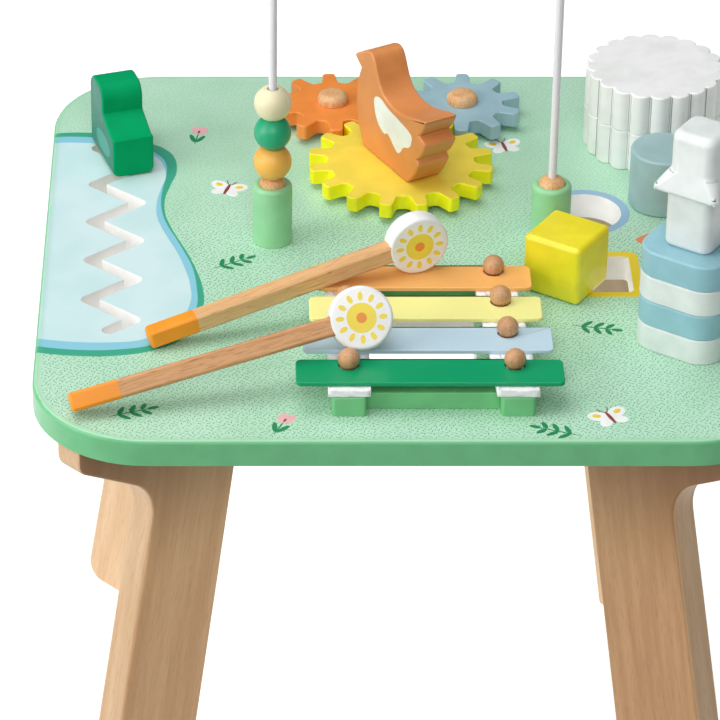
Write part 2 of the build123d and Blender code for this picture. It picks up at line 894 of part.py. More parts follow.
def all_nodes():
    nodes = {"table_top": [table_top()]}
    for y_name, y_side in (("front", -1), ("rear", 1)):
        for x_name, x_side in (("left", -1), ("right", 1)):
            nodes[f"leg_{y_name}_{x_name}"] = [leg(x_side, y_side)]
    nodes["leg_bolts"], nodes["insert_nuts"] = leg_fixings()
    for name, side in (("left", -1), ("right", 1)):
        nodes[f"chime_rail_{name}"] = [rail(side)]
        nodes[f"felt_strip_{name}"] = [felt(side)]
        nodes[f"arch_peg_{name}"] = [arch_peg(side)]
    nodes["chime_cross_front"] = [cross_piece(rail_front_y + cross_setback + cross_depth / 2)]
    nodes["chime_cross_rear"] = [cross_piece(rail_rear_y - cross_depth / 2)]
    for number, name in enumerate(bar_names):
        nodes[f"chime_bar_{name}"] = [chime_bar(number)]
    nodes["bar_pins"] = bar_pins()
    nodes["rail_screws"] = [Pos(x, y, underside) * wood_screw(rail_screw_grip) for x, y in rail_screw_places()]
    nodes["peg_screws"] = [Pos(x, y, underside) * wood_screw(screw_grip) for x, y in screw_places()]
    mallets = {"front": (*front_mallet_ends(), front_facing), "rear": (*rear_mallet_ends(), rear_facing)}
    for name, places in mallets.items():
        handle, head = mallet(*places)
        nodes[f"mallet_handle_{name}"] = [handle]
        nodes[f"mallet_head_{name}"] = [head]
    for index, name in enumerate(("yellow", "orange", "blue")):
        nodes[f"gear_{name}"] = [gear(index)]
        nodes[f"gear_axle_{name}"] = [gear_axle(index)]
        nodes[f"gear_keeper_{name}"] = [gear_keeper(index)]
    nodes["gear_spacers"] = gear_spacers()
    nodes["bird_figure"] = [figure()]
    nodes["arch_plugs"] = arch_plugs()
    nodes["arch_wire"] = [arch_wire()]
    for number, name in enumerate(bead_names):
        nodes[f"bead_{name}"] = [bead(number)]
    nodes["slider_figure"] = [slider_figure()]
    nodes["slider_stem"] = [slider_stem()]
    nodes["slider_runner"] = [slider_runner()]
    nodes["block_cube"] = [cube()]
    nodes["block_cylinder"] = [cylinder_block()]
    nodes["block_prism"] = [prism()]
    for number, name in enumerate(tower_layers):
        nodes[f"tower_{name}"] = [tower_layer(number)]
    nodes["tower_column"] = [tower_column()]
    nodes["tower_roof"] = [tower_roof()]
    tower_peg_height = column_floor() + column_height + roof_bore_depth - stack_peg_radius / 2
    nodes["tower_peg"] = [stack_peg(tower_x, tower_y, tower_peg_height)]
    nodes["scallop_disc_lower"] = [scalloped_disc(0)]
    nodes["scallop_disc_upper"] = [scalloped_disc(1)]
    nodes["scallop_peg"] = [stack_peg(disc_x, disc_y, disc_height + disc_bore_depth - stack_peg_radius / 2)]
    return nodes


for node_name, solids in all_nodes().items():
    shape = solids[0] if len(solids) == 1 else Compound(children=list(solids))
    export_step(shape, f"parts/{node_name}.step")
    print(node_name, round(sum(solid.volume for solid in solids)))
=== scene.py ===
# %% [markdown]
# # A wooden activity table
# The construction of this table comes as a finished model: every board, peg and bead is
# there at its real size. This lesson dresses it. It sets the camera and the light, mixes
# paints, wood and felt from nodes, softens the edges that a maker would sand, and adds the
# printed motifs. All sizes are in metres, in the frame of the model.

# %% Load the frame
import json
import random
from itertools import count
from math import cos, pi, radians, sin

import bmesh
import bpy
from mathutils import Matrix, Vector
from mathutils.geometry import interpolate_bezier


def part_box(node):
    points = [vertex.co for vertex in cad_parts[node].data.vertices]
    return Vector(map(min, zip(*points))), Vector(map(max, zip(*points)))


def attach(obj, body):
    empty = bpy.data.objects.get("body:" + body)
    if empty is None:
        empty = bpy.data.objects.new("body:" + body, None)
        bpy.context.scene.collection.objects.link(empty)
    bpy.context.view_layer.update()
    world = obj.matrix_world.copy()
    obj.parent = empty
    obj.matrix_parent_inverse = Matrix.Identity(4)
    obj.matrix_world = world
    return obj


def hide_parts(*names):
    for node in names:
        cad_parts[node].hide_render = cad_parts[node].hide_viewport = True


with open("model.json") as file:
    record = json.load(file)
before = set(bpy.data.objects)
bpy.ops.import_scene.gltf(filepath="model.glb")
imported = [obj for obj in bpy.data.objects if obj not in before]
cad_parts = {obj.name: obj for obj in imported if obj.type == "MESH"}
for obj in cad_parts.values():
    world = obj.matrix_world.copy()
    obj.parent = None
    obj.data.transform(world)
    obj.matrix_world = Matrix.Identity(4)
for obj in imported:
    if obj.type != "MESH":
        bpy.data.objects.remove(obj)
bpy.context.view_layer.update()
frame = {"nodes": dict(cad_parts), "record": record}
nodes = frame["nodes"]
MM = 0.001
bodies = frame["record"]["behaviour"]["bodies"]
body_of = {node: body for body, group in bodies.items() for node in group}
top_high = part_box("table_top")[1]
TOP = top_high.z
print(len(nodes), "nodes, the top lies at", round(TOP, 4))

# %% [markdown]
# ## Camera
# The picture was taken with a long lens from in front and above, and then cut down, so the
# point that the lens looks at is left of the middle. A shift of the lens does the same
# without turning the camera, and the front edge of the table stays level.

# %% Camera
PICTURE_WIDTH = 720
FOCAL_PIXELS = 3979.0
LENS_AXIS = (255.0, 359.0)
SENSOR = 36.0
CLIP_END = 50.0
CAMERA_PITCH = 32.2
CAMERA_PLACE = Vector((-0.085, -1.9126, 1.479))

lens = bpy.data.cameras.new("camera")
lens.sensor_width = SENSOR
lens.lens = FOCAL_PIXELS * SENSOR / PICTURE_WIDTH
lens.shift_x = 0.5 - LENS_AXIS[0] / PICTURE_WIDTH
lens.shift_y = LENS_AXIS[1] / PICTURE_WIDTH - 0.5
lens.clip_end = CLIP_END
camera = bpy.data.objects.new("camera", lens)
camera.location = CAMERA_PLACE
camera.rotation_euler = (radians(90 - CAMERA_PITCH), 0, 0)
bpy.context.scene.collection.objects.link(camera)
bpy.context.scene.camera = camera
print("lens", round(lens.lens, 1), "mm, shift", round(lens.shift_x, 4))

# %% [markdown]
# ## Light
# A white studio: one wide soft lamp low on the left, a second overhead and a third high up
# in front. The board shades the upper part of the legs. The standard view transform keeps
# the paints as bright as mixed.

# %% Light
STUDIO_TINT = (0.97, 0.99, 1.0, 1.0)
STUDIO_GLOW = 0.11
TABLE_MIDDLE = Vector((0, 0, TOP))
# A row holds the lamp's place, its width, its power in watts and its tint.
LAMPS = {
    "left_lamp": ((-1.8, -0.75, 1.1), 1.4, 24.5, (1.0, 0.995, 0.985)),
    "overhead_lamp": ((-0.5, 0.25, 2.3), 1.8, 26.0, (1.0, 1.0, 1.0)),
    "front_lamp": ((-0.15, -1.95, 2.0), 1.4, 22.0, (1.0, 1.0, 1.0))}

bpy.context.scene.view_settings.view_transform = "Standard"
world = bpy.data.worlds.new("studio")
bpy.context.scene.world = world
world.use_nodes = True
backdrop = world.node_tree.nodes["Background"]
backdrop.inputs["Color"].default_value = STUDIO_TINT
backdrop.inputs["Strength"].default_value = STUDIO_GLOW


def lamp(name, place, width, power, tint):
    """Square soft lamp that faces the middle of the table."""
    data = bpy.data.lights.new(name, "AREA")
    data.size = width
    data.energy = power
    data.color = tint
    made = bpy.data.objects.new(name, data)
    made.location = place
    made.rotation_euler = (TABLE_MIDDLE - Vector(place)).to_track_quat("-Z", "Y").to_euler()
    bpy.context.scene.collection.objects.link(made)


for name, row in LAMPS.items():
    lamp(name, *row)
print(len(LAMPS), "lamps")

# %% [markdown]
# ## Node helpers
# Every finish below is a small tree of nodes. A few helpers keep the trees short: they add
# a node and wire its inputs, do sums, mix two colours, or make noise. Colours are written
# as they look on a screen, from 0 to 255, and turned into light for the shader.

# %% Node helpers
NOISE_SPAN = (0.3, 0.7)


def screen(red, green, blue):
    """Light values of a colour given as it looks on a screen."""
    shares = [value / 255 for value in (red, green, blue)]
    light = [
        share / 12.92 if share < 0.04045 else ((share + 0.055) / 1.055) ** 2.4
        for share in shares]
    return (*light, 1.0)


def new_finish(name):
    material = bpy.data.materials.new(name)
    material.use_nodes = True
    return material, material.node_tree, material.node_tree.nodes["Principled BSDF"]


def add(tree, kind, wires=None, **settings):
    node = tree.nodes.new(kind)
    for key, value in settings.items():
        setattr(node, key, value)
    for key, value in (wires or {}).items():
        if isinstance(value, bpy.types.NodeSocket):
            tree.links.new(value, node.inputs[key])
        else:
            node.inputs[key].default_value = value
    return node


def sums(tree, operation, *values):
    wires = dict(enumerate(values))
    return add(tree, "ShaderNodeMath", wires, operation=operation).outputs[0]


def mix(tree, share, first, second):
    wires = {0: share, 6: first, 7: second}
    return add(tree, "ShaderNodeMix", wires, data_type="RGBA").outputs[2]


def ramp(tree, value, low, high, to_low=0.0, to_high=1.0):
    """Smooth step of a value between two limits."""
    wires = {
        "Value": value, "From Min": low, "From Max": high, "To Min": to_low, "To Max": to_high}
    return add(tree, "ShaderNodeMapRange", wires, interpolation_type="SMOOTHSTEP").outputs[0]


def object_place(tree):
    return add(tree, "ShaderNodeTexCoord").outputs["Object"]


def scaled(tree, place, scale):
    wires = {"Vector": place, "Scale": scale}
    return add(tree, "ShaderNodeMapping", wires).outputs[0]


def noise(tree, place, size, detail=2.0):
    """Noise whose lumps are about one size across."""
    wires = {"Vector": place, "Scale": 1 / size, "Detail": detail}
    return add(tree, "ShaderNodeTexNoise", wires).outputs["Fac"]


def patches(tree, value, low=0.0, high=1.0):
    """Noise spread over its usual span, from a low to a high value."""
    return ramp(tree, value, *NOISE_SPAN, low, high)


def bump(tree, height, depth, normal_to, strength=1.0):
    wires = {"Height": height, "Distance": depth, "Strength": strength}
    node = add(tree, "ShaderNodeBump", wires)
    tree.links.new(node.outputs["Normal"], normal_to)


# %% [markdown]
# ## Paints
# The toys are turned or sawn from wood and sprayed with a satin paint. Such a paint isn't
# one flat colour: it is a little lighter or darker in patches, its gloss varies, and the
# skin has a fine orange peel with a trace of the grain below.

# %% Satin paint
PAINT_PATCH = 14 * MM
PAINT_VARIES = 0.05
PAINT_PEEL = 0.55 * MM
PEEL_DEPTH = 0.012 * MM
GRAIN_TRACE = (1.0, 1.0, 0.12)
SMOOTHER, ROUGHER = 0.05, 0.06
COAT_SHARE = 0.24
COAT_ROUGHNESS = 0.25


def paint(name, colour, roughness=0.42, shine=0.5):
    material, tree, shader = new_finish(name)
    place = object_place(tree)
    light = [min(1.0, part * (1 + PAINT_VARIES)) for part in colour[:3]]
    dark = [part * (1 - PAINT_VARIES) for part in colour[:3]]
    clouds = patches(tree, noise(tree, place, PAINT_PATCH, 3.0))
    tree.links.new(mix(tree, clouds, (*dark, 1.0), (*light, 1.0)), shader.inputs["Base Color"])
    sheen = noise(tree, place, PAINT_PATCH / 2)
    gloss = patches(tree, sheen, roughness - SMOOTHER, roughness + ROUGHER)
    tree.links.new(gloss, shader.inputs["Roughness"])
    grain = noise(tree, scaled(tree, place, GRAIN_TRACE), PAINT_PEEL * 3)
    skin = sums(tree, "ADD", noise(tree, place, PAINT_PEEL), grain)
    bump(tree, skin, PEEL_DEPTH, shader.inputs["Normal"])
    shader.inputs["Specular IOR Level"].default_value = shine
    shader.inputs["Coat Weight"].default_value = shine * COAT_SHARE
    shader.inputs["Coat Roughness"].default_value = COAT_ROUGHNESS
    return material


# %% [markdown]
# ## Floor
# The floor is one pale square. Behind the table it glows like a lit backdrop, and the glow
# fades out towards the front.

# %% Floor
FLOOR_HALF = 6.0
FLOOR_PATCH = 0.4
FLOOR_GREYS = ((0.58, 0.58, 0.58, 1.0), (0.61, 0.61, 0.61, 1.0))
FLOOR_ROUGHNESS = 0.9
FLOOR_GLOW = 0.82
GLOW_FROM_Y = -300 * MM
GLOW_FULL_Y = 0.0


def new_mesh_object(name, mesh, smooth_angle=None):
    """Object at the origin from a bmesh, which is then freed."""
    data = bpy.data.meshes.new(name)
    mesh.to_mesh(data)
    mesh.free()
    if smooth_angle is not None:
        data.shade_smooth()
        data.set_sharp_from_angle(angle=radians(smooth_angle))
    made = bpy.data.objects.new(name, data)
    bpy.context.scene.collection.objects.link(made)
    return made


def studio_floor(name):
    material, tree, shader = new_finish(name)
    place = object_place(tree)
    tint = mix(tree, noise(tree, place, FLOOR_PATCH), *FLOOR_GREYS)
    tree.links.new(tint, shader.inputs["Base Color"])
    shader.inputs["Roughness"].default_value = FLOOR_ROUGHNESS
    shader.inputs["Emission Color"].default_value = (1.0, 1.0, 1.0, 1.0)
    y = add(tree, "ShaderNodeSeparateXYZ", {"Vector": place}).outputs["Y"]
    glow = ramp(tree, y, GLOW_FROM_Y, GLOW_FULL_Y, 0.0, FLOOR_GLOW)
    tree.links.new(glow, shader.inputs["Emission Strength"])
    return material


floor_mesh = bmesh.new()
bmesh.ops.create_grid(floor_mesh, x_segments=1, y_segments=1, size=FLOOR_HALF)
floor = new_mesh_object("floor", floor_mesh)
floor.data.materials.append(studio_floor("studio_floor"))
print("floor of", 2 * FLOOR_HALF, "m")

# %% [markdown]
# ## Wood
# Legs, handles and pins are clear beech. Beech shows long soft bands and, across them,
# thousands of short dark flecks that all run with the grain. Both are noise that is drawn
# out along the grain, so the place is first turned until the grain lies along X. A painted
# shadow can darken the tone towards the board.

# %% Beech
BAND_WIDTH = 7 * MM
BAND_SPAN = (0.32, 0.68)
BAND_HEIGHT = 0.4
FLECK_WIDTH = 0.55 * MM
FLECK_SPAN = (0.66, 0.74)
FINE_WIDTHS = 2.2
FINE_SPAN = (0.45, 0.8)
DRAWN_OUT = 9.0
# Painted shadow of the board: the wood turns darker towards the board's underside.
BOARD_SHADE_FROM = 130 * MM
BOARD_SHADE_FULL = 15 * MM
BOARD_SHADE_TONE = screen(130, 80, 46)
WOOD_ROUGHNESS = 0.5
PORE_DEPTH = 0.05 * MM
PORE_STRENGTH = 0.6


def beech(
        name, grain, pale, warm, fleck, fleck_width=FLECK_WIDTH, drawn_out=DRAWN_OUT,
        fleck_share=0.75, board_shade=0.0):
    material, tree, shader = new_finish(name)
    place = object_place(tree)
    turn = Vector(grain).rotation_difference(Vector((1, 0, 0))).to_euler()
    along = add(tree, "ShaderNodeMapping", {"Vector": place, "Rotation": turn}).outputs[0]
    stretched = scaled(tree, along, (1 / drawn_out, 1.0, 1.0))
    bands = noise(tree, stretched, BAND_WIDTH, 4.0)
    tint = mix(tree, ramp(tree, bands, *BAND_SPAN), pale, warm)
    # Painted shade: the tone darkens towards the board.
    if board_shade:
        height = add(tree, "ShaderNodeSeparateXYZ", {"Vector": place}).outputs["Z"]
        deep = ramp(tree, height, TOP - BOARD_SHADE_FROM, TOP - BOARD_SHADE_FULL, 0.0, board_shade)
        tint = mix(tree, deep, tint, BOARD_SHADE_TONE)
    fine = noise(tree, stretched, fleck_width * FINE_WIDTHS, 1.0)
    tint = mix(tree, ramp(tree, fine, *FINE_SPAN, 0.0, fleck_share / 2), tint, fleck)
    flecks = noise(tree, stretched, fleck_width, 0.0)
    flecks = ramp(tree, flecks, *FLECK_SPAN, 0.0, fleck_share)
    tint = mix(tree, flecks, tint, fleck)
    tree.links.new(tint, shader.inputs["Base Color"])
    shader.inputs["Roughness"].default_value = WOOD_ROUGHNESS
    pores = sums(tree, "SUBTRACT", sums(tree, "MULTIPLY", bands, BAND_HEIGHT), flecks)
    bump(tree, pores, PORE_DEPTH, shader.inputs["Normal"], PORE_STRENGTH)
    return material


# %% [markdown]
# ## Enamel
# The chime bars and the arch are enamelled steel: harder than the paint on the wood, with
# a broad soft waviness.

# %% Enamel
ENAMEL_PATCH = 45 * MM
ENAMEL_DEEP = 0.95
ENAMEL_WAVE = 40 * MM
ENAMEL_GLOSS = (0.3, 0.36)
ENAMEL_PEEL = 0.8 * MM
ENAMEL_DEPTH = 0.006 * MM
ENAMEL_STRENGTH = 0.4
ENAMEL_SHINE = 0.3
ENAMEL_COAT = 0.05
ENAMEL_COAT_ROUGHNESS = 0.15


def enamel(name, colour):
    material, tree, shader = new_finish(name)
    place = object_place(tree)
    deep = [part * ENAMEL_DEEP for part in colour[:3]]
    tint = mix(tree, noise(tree, place, ENAMEL_PATCH), colour, (*deep, 1.0))
    tree.links.new(tint, shader.inputs["Base Color"])
    gloss = patches(tree, noise(tree, place, ENAMEL_WAVE), *ENAMEL_GLOSS)
    tree.links.new(gloss, shader.inputs["Roughness"])
    peel = noise(tree, place, ENAMEL_PEEL)
    bump(tree, peel, ENAMEL_DEPTH, shader.inputs["Normal"], ENAMEL_STRENGTH)
    shader.inputs["Specular IOR Level"].default_value = ENAMEL_SHINE
    shader.inputs["Coat Weight"].default_value = ENAMEL_COAT
    shader.inputs["Coat Roughness"].default_value = ENAMEL_COAT_ROUGHNESS
    return material


# %% [markdown]
# ## Felt and bare metal
# The felt is wool, matt with a sheen. Bolts and inserts are bare metal with fine turning
# lines.

# %% Felt and bare metal
WOOL_LUMP = 1.6 * MM
WOOL_TINTS = (screen(244, 245, 247), screen(254, 254, 254))
WOOL_ROUGHNESS = 0.95
WOOL_SHEEN = 0.4
WOOL_DEPTH = 0.5 * MM
TURNED = (0.2, 0.2, 1.0)
TURNING_LINE = 0.3 * MM
METAL_SMOOTHER, METAL_ROUGHER = 0.08, 0.1
METAL_DEEP = 0.85


def felt_wool(name):
    material, tree, shader = new_finish(name)
    lumps = noise(tree, object_place(tree), WOOL_LUMP, 4.0)
    tree.links.new(mix(tree, lumps, *WOOL_TINTS), shader.inputs["Base Color"])
    shader.inputs["Roughness"].default_value = WOOL_ROUGHNESS
    shader.inputs["Sheen Weight"].default_value = WOOL_SHEEN
    bump(tree, lumps, WOOL_DEPTH, shader.inputs["Normal"])
    return material


def bare_metal(name, colour, roughness):
    material, tree, shader = new_finish(name)
    lines = noise(tree, scaled(tree, object_place(tree), TURNED), TURNING_LINE)
    deep = [part * METAL_DEEP for part in colour[:3]]
    tree.links.new(mix(tree, lines, colour, (*deep, 1.0)), shader.inputs["Base Color"])
    gloss = patches(tree, lines, roughness - METAL_SMOOTHER, roughness + METAL_ROUGHER)
    tree.links.new(gloss, shader.inputs["Roughness"])
    shader.inputs["Metallic"].default_value = 1.0
    return material


# %% [markdown]
# ## The print: dashes
# The board is printed with pale mint and thousands of short dashes that lie every way. A
# dash sits in each cell of a Voronoi pattern: the place in the cell is turned by a random
# angle, and what is long and thin there is ink. Some dashes are fainter than others.

# %% Dashes
DASH_CELL = 2.35 * MM
DASH_SCATTER = 0.5
DASH_LENGTH = 1.7 * MM
DASH_WIDTH = 0.46 * MM
DASH_TURN = radians(31)
DASH_END = (DASH_LENGTH * 0.4, DASH_LENGTH * 0.6)
DASH_SIDE = (DASH_WIDTH * 0.3, DASH_WIDTH * 0.7)
FAINT_CHANCE = 0.6
FAINT_INK = 0.55


def dashes(tree, place):
    """One dash, turned at random, in each cell."""
    wires = {"Vector": place, "Rotation": (0, 0, DASH_TURN)}
    place = add(tree, "ShaderNodeMapping", wires).outputs[0]
    wires = {"Vector": place, "Scale": 1 / DASH_CELL, "Randomness": DASH_SCATTER}
    cells = add(tree, "ShaderNodeTexVoronoi", wires, voronoi_dimensions="2D")
    wires = {0: place, 1: cells.outputs["Position"]}
    local = add(tree, "ShaderNodeVectorMath", wires, operation="SUBTRACT").outputs[0]
    chance = add(tree, "ShaderNodeSeparateColor", {"Color": cells.outputs["Color"]})
    wires = {"Vector": local, "Angle": sums(tree, "MULTIPLY", chance.outputs[0], 2 * pi)}
    turned = add(tree, "ShaderNodeVectorRotate", wires, rotation_type="Z_AXIS").outputs[0]
    parts = add(tree, "ShaderNodeSeparateXYZ", {"Vector": turned})
    lengthwise = sums(tree, "ABSOLUTE", parts.outputs["X"])
    across = sums(tree, "ABSOLUTE", parts.outputs["Y"])
    inside = ramp(tree, lengthwise, *DASH_END, 1.0, 0.0)
    inside = sums(tree, "MULTIPLY", inside, ramp(tree, across, *DASH_SIDE, 1.0, 0.0))
    strength = ramp(tree, chance.outputs[1], 0.0, FAINT_CHANCE, FAINT_INK, 1.0)
    return sums(tree, "MULTIPLY", inside, strength)


# %% [markdown]
# ## The print: pond
# A light blue pond lies round the zigzag track. It is drawn round a point on the left edge:
# three curves give how far its green bank, blue bank and water reach in each direction, in
# millimetres. The point's surroundings are squeezed from front to back, because the pond is
# about twice as long as it is wide.

# %% Pond
POND_MIDDLE = (-203 * MM, 10 * MM)
POND_SQUEEZE = 0.53
POND_SPAN = 105 * MM
BANK_ANGLES = (
    -90, -75, -60, -45, -38, -31, -25, -19, -13, -7, -1, 5, 11, 17, 23, 29, 34, 39, 45, 54, 70,
    90)
GREEN_REACH = (
    65.0, 69.3, 77.8, 90.6, 96.8, 100.2, 99.0, 94.7, 87.8, 80.9, 74.7, 70.5, 68.5, 69.8, 75.5,
    83.5, 85.6, 84.0, 79.6, 74.8, 66.9, 62.2)
BLUE_REACH = (
    61.6, 65.8, 74.0, 87.0, 93.9, 97.0, 95.3, 91.0, 86.0, 79.4, 73.6, 69.1, 67.1, 67.6, 70.9,
    76.7, 79.7, 78.7, 75.7, 71.3, 63.9, 59.9)
WATER_REACH = (
    57.5, 61.4, 69.3, 82.3, 88.2, 91.3, 91.2, 87.1, 81.0, 74.9, 69.2, 65.3, 63.7, 65.0, 69.6,
    76.3, 77.9, 76.8, 73.5, 68.0, 60.0, 56.2)


def length(tree, aside, ahead):
    squares = sums(tree, "MULTIPLY_ADD", aside, aside, sums(tree, "MULTIPLY", ahead, ahead))
    return sums(tree, "SQRT", squares)


def pond_place(tree, x, y):
    """Direction from the pond's middle, as a share of the half turn, and distance from it."""
    aside = sums(tree, "SUBTRACT", x, POND_MIDDLE[0])
    ahead = sums(tree, "SUBTRACT", y, POND_MIDDLE[1])
    ahead = sums(tree, "MULTIPLY", ahead, POND_SQUEEZE)
    angle = sums(tree, "MULTIPLY_ADD", sums(tree, "ARCTAN2", ahead, aside), 1 / pi, 0.5)
    return angle, length(tree, aside, ahead)


def inside_bank(tree, angle, reach, reaches, edge):
    """One inside a closed line that is given by its reach in each direction."""
    curve = add(tree, "ShaderNodeFloatCurve", {"Value": angle})
    line = curve.mapping.curves[0]
    spots = [
        (turn / 180 + 0.5, far * MM / POND_SPAN) for turn, far in zip(BANK_ANGLES, reaches)]
    line.points[0].location = spots[0]
    line.points[1].location = spots[-1]
    for spot in spots[1:-1]:
        line.points.new(*spot)
    curve.mapping.update()
    limit = sums(tree, "MULTIPLY", curve.outputs[0], POND_SPAN)
    return ramp(tree, sums(tree, "SUBTRACT", limit, reach), -edge, edge)


# %% [markdown]
# ## The print: rims
# Each sorter hole has a coloured rim. The rims are distances to a square, a circle and a
# triangle, whose tips are rounded. The distance to a square also gives the board's border.

# %% Rims
RIM_TIP = 15 * MM


def from_square(tree, x, y, hole):
    """Distance to an oblong that lies straight."""
    outside = []
    for value, middle, half in ((x, hole[0].x, hole[1]), (y, hole[0].y, hole[2])):
        away = sums(tree, "ABSOLUTE", sums(tree, "SUBTRACT", value, middle))
        outside.append(sums(tree, "MAXIMUM", sums(tree, "SUBTRACT", away, half), 0.0))
    return length(tree, *outside)


def from_circle(tree, x, y, hole):
    middle, radius = hole
    aside = sums(tree, "SUBTRACT", x, middle.x)
    ahead = sums(tree, "SUBTRACT", y, middle.y)
    return sums(tree, "SUBTRACT", length(tree, aside, ahead), radius)


def from_triangle(tree, x, y, hole):
    """Distance to a triangle with one corner to the left."""
    middle, inner_radius = hole
    aside = sums(tree, "SUBTRACT", x, middle.x)
    ahead = sums(tree, "SUBTRACT", y, middle.y)
    reach = aside
    for side in (-1, 1):
        slanted = sums(tree, "MULTIPLY", ahead, side * sin(radians(60)))
        slanted = sums(tree, "MULTIPLY_ADD", aside, -cos(radians(60)), slanted)
        reach = sums(tree, "SMOOTH_MAX", reach, slanted, RIM_TIP)
    return sums(tree, "SUBTRACT", reach, inner_radius)


# %% [markdown]
# ## The whole print
# The layers go on one after the other: mint, dashes, the pond's banks and water, the rims
# of the holes. Towards the back the dashes blend into an even tone, and a narrow border
# stays plain. Last, the green of the outer edge is sprayed over the print.

# %% The whole print
MINTS = (screen(182, 228, 196), screen(190, 232, 204))
MINT_CLOUD = 40 * MM
SPECKLE_INKS = (screen(84, 140, 120), screen(112, 162, 146))
INK_PATCH = 6 * MM
DASH_COVER = 0.07
DASH_CLEAR_Y = -10 * MM
DASH_FAINT_Y = 90 * MM
DASH_BLEND = 0.65
PLAIN_BORDER = 4.6 * MM
BORDER_EDGE = 0.6 * MM
DASH_CORE_Y = -1.6 * MM
PRINT_EDGE = 0.15 * MM
BANK_GREEN = screen(56, 170, 138)
BANK_BLUE = screen(140, 206, 226)
WATERS = (screen(204, 234, 236), screen(214, 238, 241))
WATER_SPAN = (0.35, 0.65)
RIM = 5 * MM
SQUARE_HOLE = (Vector((103.4, -32.0, 0)) * MM, 19 * MM, 19 * MM)
SQUARE_RIM = screen(240, 214, 40)
ROUND_HOLE = (Vector((101.5, 36.0, 0)) * MM, 20.5 * MM)
ROUND_RIM = screen(150, 186, 214)
TRIANGLE_HOLE = (Vector((160.0, 5.0, 0)) * MM, 13.5 * MM)
TRIANGLE_RIM = screen(240, 140, 92)
RIM_GREEN = screen(110, 192, 134)
SPRAY_HIGH = 0.05 * MM
SPRAY_LOW = 0.75 * MM
SPRAY_WIDE = 6.0 * MM
SPRAY_SHARE = 0.4
PRINT_WAVE = 20 * MM
PRINT_GLOSS = (0.42, 0.52)
PRINT_PEEL = 0.9 * MM
PRINT_DEPTH = 0.012 * MM
BOARD_CORNER = 62 * MM
BOARD_CORE = (Vector((0, 0, 0)), top_high.x - BOARD_CORNER, top_high.y - BOARD_CORNER)
DASH_CORE = (Vector((0, DASH_CORE_Y, 0)), *BOARD_CORE[1:])


def speckled(tree, place, x, y, tint):
    """Dashes over a tint, and the dashes alone."""
    ink = mix(tree, noise(tree, place, INK_PATCH), *SPECKLE_INKS)
    plain = BOARD_CORNER - PLAIN_BORDER
    border = from_square(tree, x, y, DASH_CORE)
    printed = ramp(tree, border, plain - BORDER_EDGE, plain + BORDER_EDGE, 1.0, 0.0)
    speckle = sums(tree, "MULTIPLY", dashes(tree, place), printed)
    faint = ramp(tree, y, DASH_CLEAR_Y, DASH_FAINT_Y, 0.0, DASH_BLEND)
    share = add(tree, "ShaderNodeMix", {0: faint, 2: speckle, 3: DASH_COVER}).outputs[0]
    return mix(tree, share, tint, ink), speckle


def printed_top(name):
    material, tree, shader = new_finish(name)
    place = object_place(tree)
    parts = add(tree, "ShaderNodeSeparateXYZ", {"Vector": place})
    x, y, z = (parts.outputs[axis] for axis in "XYZ")
    cloud = noise(tree, place, MINT_CLOUD, 3.0)
    tint = mix(tree, patches(tree, cloud), *MINTS)
    tint, speckle = speckled(tree, place, x, y, tint)
    angle, reach = pond_place(tree, x, y)
    water = mix(tree, ramp(tree, cloud, *WATER_SPAN), *WATERS)
    banks = (
        (GREEN_REACH, PRINT_EDGE, BANK_GREEN), (BLUE_REACH, PRINT_EDGE, BANK_BLUE),
        (WATER_REACH, PRINT_EDGE * 2, water))
    for reaches, edge, colour in banks:
        tint = mix(tree, inside_bank(tree, angle, reach, reaches, edge), tint, colour)
    rims = (
        (from_square, SQUARE_HOLE, SQUARE_RIM), (from_circle, ROUND_HOLE, ROUND_RIM),
        (from_triangle, TRIANGLE_HOLE, TRIANGLE_RIM))
    for distance, hole, colour in rims:
        away = distance(tree, x, y, hole)
        inside = ramp(tree, away, RIM - PRINT_EDGE, RIM + PRINT_EDGE, 1.0, 0.0)
        tint = mix(tree, inside, tint, colour)
    border = from_square(tree, x, y, BOARD_CORE)
    drift = ramp(tree, border, BOARD_CORNER - SPRAY_WIDE, BOARD_CORNER, 0.0, SPRAY_SHARE)
    sprayed = ramp(tree, z, TOP - SPRAY_LOW, TOP - SPRAY_HIGH, 1.0, 0.0)
    tint = mix(tree, sums(tree, "MAXIMUM", drift, sprayed), tint, RIM_GREEN)
    tree.links.new(tint, shader.inputs["Base Color"])
    gloss = patches(tree, noise(tree, place, PRINT_WAVE), *PRINT_GLOSS)
    tree.links.new(gloss, shader.inputs["Roughness"])
    raised = sums(tree, "MULTIPLY", speckle, 0.5)
    skin = sums(tree, "ADD", noise(tree, place, PRINT_PEEL), raised)
    bump(tree, skin, PRINT_DEPTH, shader.inputs["Normal"])
    return material


# %% [markdown]
# ## Soft edges
# A maker rounds every edge that a child can touch. Each piece is copied from its node, its
# loose triangles are welded, and flat areas are joined into one face. A Bevel modifier then
# rounds the edges that are still sharp.

# %% Soft edges
WELD = 0.002 * MM
FLAT_ANGLE = 0.4
SMOOTH_ANGLE = 32
BEVEL_ANGLE = 40
BEVEL_STEPS = 3


def welded(node):
    """Copy of a node's mesh with its triangles joined up."""
    mesh = bmesh.new()
    mesh.from_mesh(nodes[node].data)
    bmesh.ops.remove_doubles(mesh, verts=mesh.verts, dist=WELD)
    bmesh.ops.dissolve_limit(
        mesh, angle_limit=radians(FLAT_ANGLE), verts=mesh.verts, edges=mesh.edges)
    return mesh


def round_edges(piece, width):
    soften = piece.modifiers.new("soft_edges", "BEVEL")
    soften.width = width
    soften.segments = BEVEL_STEPS
    soften.limit_method = "ANGLE"
    soften.angle_limit = radians(BEVEL_ANGLE)
    soften.use_clamp_overlap = False
    soften.harden_normals = True


